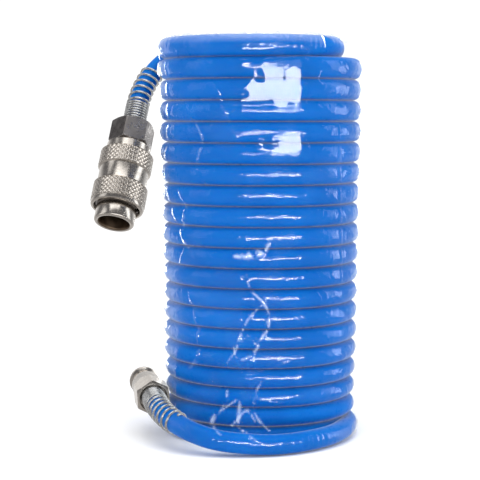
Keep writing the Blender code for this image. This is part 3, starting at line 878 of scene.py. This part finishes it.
def make_springs(look):
    """The sleeve's and the valve's springs."""
    springs = (
        ("sleeve_return_spring", "sleeve_spring", 8.6, 0.4, 14.2, 26.8, 6, "sleeve_slide", 3.5),
        ("valve_return_spring", "valve_spring", 4.6, 0.35, 21.1, 30.2, 5, "valve_slide", 4.5),
    )
    for name, node, radius, wire_r, start, end, coils, moved_by, travel in springs:
        line = spring_line(COUPLER, radius, wire_r, start, end, coils)
        spring = wire(name, line, wire_r * MM, look, 8)
        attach(spring, "hose")
        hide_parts(node)
        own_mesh(spring)


def make_valve(brass, rubber):
    """The brass poppet, and the packing it closes on."""
    poppet = [(2.8, 16.5), (3.7, 16.5), (4.05, 16.8), (4.1, 17.0), (4.1, 19.5), (6.0, 19.5)]
    poppet += [(6.0, 20.9), (3.2, 20.9), (3.2, 22.9), (1.2, 22.9), (1.2, 20.5), (2.8, 19.1)]
    valve = turned("poppet", poppet, brass, COUPLER)
    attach(valve, "valve")
    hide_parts("valve_poppet")
    section = [(4.45, 17.9), (4.6, 17.5), (5.0, 17.35), (6.6, 17.35), (6.6, 19.35), (4.45, 19.35)]
    packing = turned("packing", section, rubber, COUPLER)
    ring_r, wire_r, at, sides = 6.2, 0.42, 32.6, 12
    turns = [k * TAU / sides for k in range(sides)]
    o_ring = [(ring_r + wire_r * math.cos(a), at + wire_r * math.sin(a)) for a in turns]
    seal = turned("o_ring", o_ring, rubber, COUPLER)
    for piece, node in ((packing, "mouth_packing"), (seal, "tail_o_ring")):
        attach(piece, "hose")
        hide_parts(node)


def make_coupler_tail(look):
    """The screwed-in tail with its O-ring groove and hose barb."""
    profile = [(1.6, 30.4), (6.4, 30.4), (6.6, 30.6), (6.6, 32.0), (5.7, 32.0), (5.7, 33.2)]
    profile += [(6.6, 33.2), (6.6, 41.2), (5.8, 42.0), (2.3, 42.0)]
    for crest in (45.0, 48.0, 51.0):
        profile += [(2.75, crest - 0.2), (2.3, crest + 0.8)]
    profile += [(2.1, 52.0), (1.6, 52.0)]
    tail = turned("coupler_barb", profile, look, COUPLER)
    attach(tail, "hose")
    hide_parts("coupler_tail")


def make_plug(look):
    """The plug nipple: tip, shoulders either side of the ball groove, collar, thread and barb."""
    profile = [(1.9, 0.0), (3.4, 0.0), (3.75, 0.12), (3.9, 0.45), (3.9, 5.0), (4.3, 5.7)]
    profile += [(5.2, 6.4), (5.8, 6.4), (5.95, 6.6), (5.95, 7.9), (5.8, 8.05), (4.95, 8.7)]
    profile += [(4.95, 12.2), (5.8, 13.05), (5.95, 13.25), (5.95, 18.2), (6.1, 18.4), (6.2, 18.55)]
    profile += [(6.2, 21.5), (6.0, 21.7), (5.5, 21.7), (5.5, 28.0), (2.3, 28.0)]
    for crest in (29.9, 32.7, 35.5):
        profile += [(2.75, crest - 0.2), (2.3, crest + 0.8)]
    profile += [(2.1, 37.7), (1.9, 37.7)]
    plug = turned("nipple", profile, look, PLUG)
    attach(plug, "hose")
    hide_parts("plug_nipple")


def make_nuts(dark, nickel):
    bore = [(7.0, 35.3), (7.0, 42.4), (5.4, 42.9), (5.4, 45.1), (5.7, 45.5)]
    hex_nut("coupler_nut", "coupler_hex_nut", 16.0, 35.3, 45.5, bore, dark, COUPLER, -17.0)
    bore = [(5.8, 22.0), (5.8, 28.3), (5.4, 28.6), (5.4, 31.1), (5.7, 31.5)]
    hex_nut("plug_nut", "plug_hex_nut", 13.0, 22.0, 31.5, bore, nickel, PLUG, 4.0)


# ---- film


def film_base(line):
    """The heights of the film's rows, and the radius of the hose's outer surface over (angle,
    height), which is 0 where there is no hose."""
    bins, rows = FILM_BINS, FILM_ROWS
    heights = np.linspace(FILM_LOW, FILM_HIGH, rows)
    surface = np.zeros((bins, rows))
    along = lengths_along(line)
    width, height = hose_section(line)
    for (x, y, z), w, h, s in zip(line, width, height, along):
        dx, dy = x - COIL_AXIS.x, y - COIL_AXIS.y
        radius, angle = math.hypot(dx, dy), math.degrees(math.atan2(dy, dx)) % 360.0
        if s < UPPER_END_LENGTH or s > along[-1] - LOWER_END_LENGTH:
            continue
        inside = np.abs(heights - z) < h
        out = radius + w * np.sqrt(np.clip(1 - ((heights - z) / h) ** 2, 0, 1))
        reach = 2.0 * MM / radius * 360.0 / TAU
        first = int(math.floor((angle - reach) * bins / 360.0))
        last = int(math.ceil((angle + reach) * bins / 360.0))
        for b in range(first, last + 1):
            column = surface[b % bins]
            column[inside] = np.maximum(column, out)[inside]
    return heights, surface


def spread_max(field, by):
    """The largest value within a number of rows either way."""
    made = field.copy()
    for shift in range(1, by + 1):
        made[:, shift:] = np.maximum(made[:, shift:], field[:, :-shift])
        made[:, :-shift] = np.maximum(made[:, :-shift], field[:, shift:])
    return made


def blurred(field, by, axis, wrap):
    """A moving average over 2 * by + 1 cells, repeated for a smooth result."""
    for _ in range(3):
        total = np.zeros_like(field)
        for shift in range(-by, by + 1):
            if wrap:
                total += np.roll(field, shift, axis)
            else:
                index = np.clip(np.arange(field.shape[axis]) - shift, 0, field.shape[axis] - 1)
                total += np.take(field, index, axis)
        field = total / (2 * by + 1)
    return field


def noise_field(angles, heights, scale, seed, octaves):
    """Smooth noise over the film's angle and height, seamless round the coil."""
    radius = NOISE_R
    made = np.zeros((len(angles), len(heights)))
    for i, angle in enumerate(angles):
        x, y = radius * math.cos(angle), radius * math.sin(angle)
        for j, z in enumerate(heights):
            point = Vector((x * scale + seed, y * scale, z * scale))
            made[i, j] = noise.fractal(point, 0.7, 2.0, octaves)
    return made


def resampled(field, shape):
    """A coarse field read at more cells, wrapping round the first axis."""
    rows = np.linspace(0, field.shape[0], shape[0], endpoint=False)
    columns = np.linspace(0, field.shape[1] - 1, shape[1])
    i, j = np.floor(rows).astype(int), np.clip(np.floor(columns).astype(int), 0, field.shape[1] - 2)
    a, b = (rows - i)[:, None], (columns - j)[None, :]
    a, b = a * a * (3 - 2 * a), b * b * (3 - 2 * b)
    i2 = (i + 1) % field.shape[0]
    top = field[np.ix_(i, j)] * (1 - b) + field[np.ix_(i, j + 1)] * b
    low = field[np.ix_(i2, j)] * (1 - b) + field[np.ix_(i2, j + 1)] * b
    return top * (1 - a) + low * a


def film_noise(scale, seed, octaves=3, coarse=2):
    """Noise over the film's grid, worked out at every coarse-th cell."""
    angles = np.arange(FILM_BINS // coarse) * TAU / (FILM_BINS // coarse)
    heights = np.linspace(FILM_LOW, FILM_HIGH, FILM_ROWS // coarse)
    return resampled(noise_field(angles, heights, scale, seed, octaves), (FILM_BINS, FILM_ROWS))


def patch(degrees, heights, middle, size, edge):
    """1 inside an ellipse over (angle, height) and 0 outside it."""
    off = (degrees[:, None] - middle[0] + 180.0) % 360.0 - 180.0
    distance = np.hypot(off / size[0], (heights[None, :] - middle[1] * MM) / (size[1] * MM))
    return 1 - smoothstep(1 - edge, 1 + edge, distance)


def crease(degrees, heights, points, width):
    """A ridge of height 1 along a smooth line through (angle, height in millimetres) points. It
    narrows towards both of its ends."""
    made = np.zeros((len(degrees), len(heights)))
    mm_per_degree = math.radians(1.0) * NOISE_R / MM
    origin = points[0][0]
    off = (degrees[:, None] - origin + 180.0) % 360.0 - 180.0
    x = off * mm_per_degree
    y = heights[None, :] / MM
    laid_out = [Vector(((a - origin) * mm_per_degree, z, 0.0)) for a, z in points]
    line = spline_through(laid_out, 1.2)
    for k, ((x0, y0, _), (x1, y1, _)) in enumerate(zip(line, line[1:])):
        dx, dy = x1 - x0, y1 - y0
        t = np.clip(((x - x0) * dx + (y - y0) * dy) / (dx * dx + dy * dy), 0, 1)
        distance = np.hypot(x - x0 - t * dx, y - y0 - t * dy)
        here = width * (0.35 + 0.65 * math.sin(math.pi * (k + 0.5) / (len(line) - 1)))
        made = np.maximum(made, np.clip(1 - distance / here, 0, 1))
    return made


def crest_envelope(surface, degrees, row_mm):
    """The film's radius if it were taut from crest to crest. Upwards it falls in by no more than
    `steep` for each millimetre of height, or `gentle` at the left front."""
    reach_mm, gentle, steep = 4.6, 0.9, 3.2
    crests = spread_max(surface, round(reach_mm / row_mm))
    crests = np.maximum(crests, COIL_R_BASE - 1.0 * MM)
    fall = np.where((degrees > 195) & (degrees < 238), gentle, steep) * row_mm * MM
    fall = blurred(fall[:, None], 6, 0, True)[:, 0]
    for j in range(1, FILM_ROWS):
        crests[:, j] = np.maximum(crests[:, j], crests[:, j - 1] - fall)
    return blurred(blurred(crests, 3, 0, True), 5, 1, False)


def make_film(line, look):
    """The film's shape and looks over (angle, height): it sags between the crests by its slack, is
    stretched flat in the taut patches, and carries ridges, fine noise and creases."""
    heights, surface = film_base(line)
    degrees = np.arange(FILM_BINS) * 360.0 / FILM_BINS
    row_mm = (FILM_HIGH - FILM_LOW) / (FILM_ROWS - 1) / MM
    crests = crest_envelope(surface, degrees, row_mm)
    below = np.clip(crests - surface, 0, HOSE_R)
    sag = (2 * HOSE_R * below - below**2) / (2 * FILM_CREST_R)
    slow, warp, fine = film_noise(60.0, 3.0), film_noise(110.0, 11.0), film_noise(420.0, 23.0, 4, 1)
    taut = np.zeros_like(slow)
    for middle, size in TAUT_PATCHES:
        taut = np.maximum(taut, patch(degrees, heights, middle, size, 0.25))
    slack = 2.0 - 0.5 * smoothstep(-0.2, 0.4, slow)
    slack *= 1 - smoothstep(0.5, 0.8, taut + 0.6 * warp)
    flat = smoothstep(0.4, 0.7, taut)
    ridges = np.clip(1 - np.abs(warp) * 3.0, 0, 1) ** 3
    radius = blurred(crests - slack * sag, 1, 1, False) + FILM_CLEARANCE
    radius += 0.16 * MM * ridges * (1 - 0.8 * flat)
    radius += 0.06 * MM * fine * (1 - 0.85 * flat)
    haze = 0.004 * smoothstep(0.05, 0.4, slow)
    haze += 0.05 * patch(degrees, heights, *HAZE_PATCH, 0.6)
    creased = np.zeros_like(slack)
    for points, width, height, milk in CREASES:
        ridge = crease(degrees, heights, points, width)
        radius += height * MM * ridge
        haze += CREASE_MILK * milk * ridge * smoothstep(-0.25, 0.3, fine)
        creased = np.maximum(creased, smoothstep(0.0, 0.4, ridge))
    roughness = 0.05 + 0.08 * smoothstep(0.2, 1.2, slack) * (1 - creased)
    gleam = 1 - smoothstep(0.25 * MM, 0.8 * MM, slack * sag)
    looks = {"haze": haze, "roughness": roughness, "gleam": gleam}
    return build_film(look, heights, radius, looks)


def folded_rows(start, start_z, angle):
    """Rows of film folded in over the top turn, puckered: (share of the way in, radius, height)."""
    folds, over = 26, 0.22
    pucker = 0.35 * MM * np.sin(angle * 31 + 2.0 * np.sin(angle * 7)) + 0.3 * MM * np.sin(angle * 53)
    for i in range(1, folds + 1):
        u = i / folds
        curve = math.pi / 2 * min(1.0, u / over)
        inward = 4.0 * MM * (1 - math.cos(curve)) + max(0.0, u - over) * 12.0 * MM
        up = (FILM_TOP - start_z) * math.sin(curve) - 2.2 * MM * max(0.0, (u - 0.5) / 0.5) ** 2
        yield u, start - inward, start_z + up + pucker * min(1.0, u * 2)


def film_openings(points):
    """Which points are cut away: above the ragged edge under the upper end, and at the lower end."""
    away = points - np.array(COIL_AXIS)
    degrees = np.degrees(np.arctan2(away[:, 1], away[:, 0])) % 360.0
    ragged = UPPER_OPENING_FROM + 0.8 * MM * np.sin(np.radians(degrees * 9))
    ragged += 0.5 * MM * np.sin(np.radians(degrees * 23))
    first, last = UPPER_OPENING
    opened = (degrees > first) & (degrees < last) & (points[:, 2] > ragged)
    first, last = LOWER_OPENING
    return opened | ((degrees > first) & (degrees < last) & (points[:, 2] < LOWER_OPENING_TO))


def build_film(look, heights, radius, looks):
    """The film's mesh: the wrapped side, then rows folded in over the top turn, less what lies in
    the openings."""
    bins = FILM_BINS
    angle = np.arange(bins) * TAU / bins
    side_rows = FILM_ROWS - 9
    rows = [(radius[:, j], np.full(bins, heights[j])) for j in range(side_rows)]
    values = {name: [field[:, j] for j in range(side_rows)] for name, field in looks.items()}
    for u, r, z in folded_rows(rows[-1][0], heights[side_rows - 1], angle):
        rows.append((r, z))
        values["haze"].append(looks["haze"][:, -12] + 0.3 * min(1.0, 3 * u))
        values["roughness"].append(np.full(bins, 0.15))
        values["gleam"].append(np.full(bins, 1.0))
    points = []
    for r, z in rows:
        x, y = COIL_AXIS.x + r * np.cos(angle), COIL_AXIS.y + r * np.sin(angle)
        points.append(np.stack([x, y, z], axis=1))
    points = np.concatenate(points)
    opened = film_openings(points)
    faces = [f for f in grid_faces(len(rows), bins) if not any(opened[v] for v in f)]
    film = add_mesh("film", points, [tuple(reversed(f)) for f in faces], look, 0)
    for name, rings in values.items():
        attribute = film.data.attributes.new(name, "FLOAT", "POINT")
        attribute.data.foreach_set("value", np.concatenate(rings).astype(np.float32))
    shape = bmesh.new()
    shape.from_mesh(film.data)
    bmesh.ops.delete(shape, geom=[v for v in shape.verts if not v.link_faces], context="VERTS")
    shape.to_mesh(film.data)
    shape.free()
    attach(film, "hose")
    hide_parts("film_wrap")
    return film


# ---- scene


def main():
    make_camera()
    make_lights()
    make_world()
    make_floor()
    hose = hose_material()
    nickel = metal_material("nickel_plate", (0.70, 0.65, 0.59), 0.16, 0.30, 700.0)
    dark = metal_material("dark_plated_steel", (0.36, 0.34, 0.33), 0.22, 0.40, 500.0,
                          (0.26, 0.24, 0.23))
    steel = metal_material("spring_wire", (0.72, 0.73, 0.73), 0.16, 0.32, 900.0)
    brass = metal_material("machined_brass", (0.72, 0.52, 0.26), 0.22, 0.4, 600.0)
    # Dark brown metal for the socket's bore: painted shade inside the hollow, not an oil film
    bore = metal_material("bore_painted_shade", (0.20, 0.145, 0.10), 0.3, 0.5, 400.0)
    rubber = rubber_material()
    line = make_hose(hose)
    make_guards(line, steel)
    make_nuts(dark, nickel)
    make_coupler_body(nickel, bore)
    make_sleeve(nickel)
    make_stop_ring(dark)
    make_locking_balls(steel)
    make_springs(steel)
    make_valve(brass, rubber)
    make_coupler_tail(brass)
    make_plug(nickel)
    make_film_lights(make_film(line, film_material()))


main()
